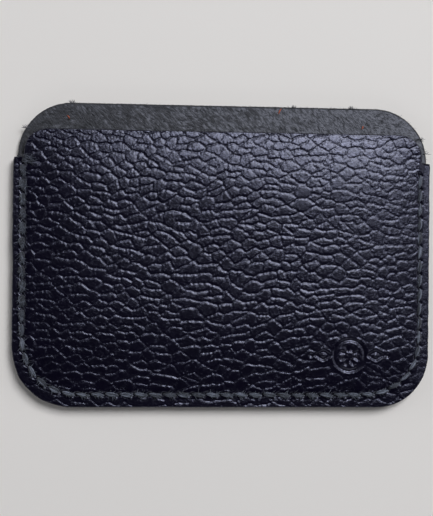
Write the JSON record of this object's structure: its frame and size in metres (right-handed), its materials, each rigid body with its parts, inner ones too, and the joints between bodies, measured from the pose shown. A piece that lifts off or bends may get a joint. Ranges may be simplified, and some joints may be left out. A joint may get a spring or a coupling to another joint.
{
  "type": "card holder",
  "caption": "Flat open-top leather card holder: two pebbled panels saddle-stitched on three sides, with a low front over a taller round-shouldered back.",
  "frame": {"origin": "centre of the back panel's outer face, which the holder lies on", "axes": "+X across the holder to its right, +Y from the bottom seam to the open mouth, +Z out of the front panel"},
  "size_m": [0.1, 0.0722, 0.0044],
  "materials": {
    "pebbled_leather": "black full-grain leather with a coarse pebbled grain and a soft semi-gloss",
    "flesh_side_leather": "charcoal napped flesh side, matt; its outer face is the same pebbled black grain as the front panel",
    "waxed_thread": "waxed multi-strand sewing thread, near-black, low sheen"
  },
  "bodies": {
    "root": {"back_panel": "flesh_side_leather", "front_panel": "pebbled_leather", "seam_thread": "waxed_thread"}
  },
  "joints": []
}
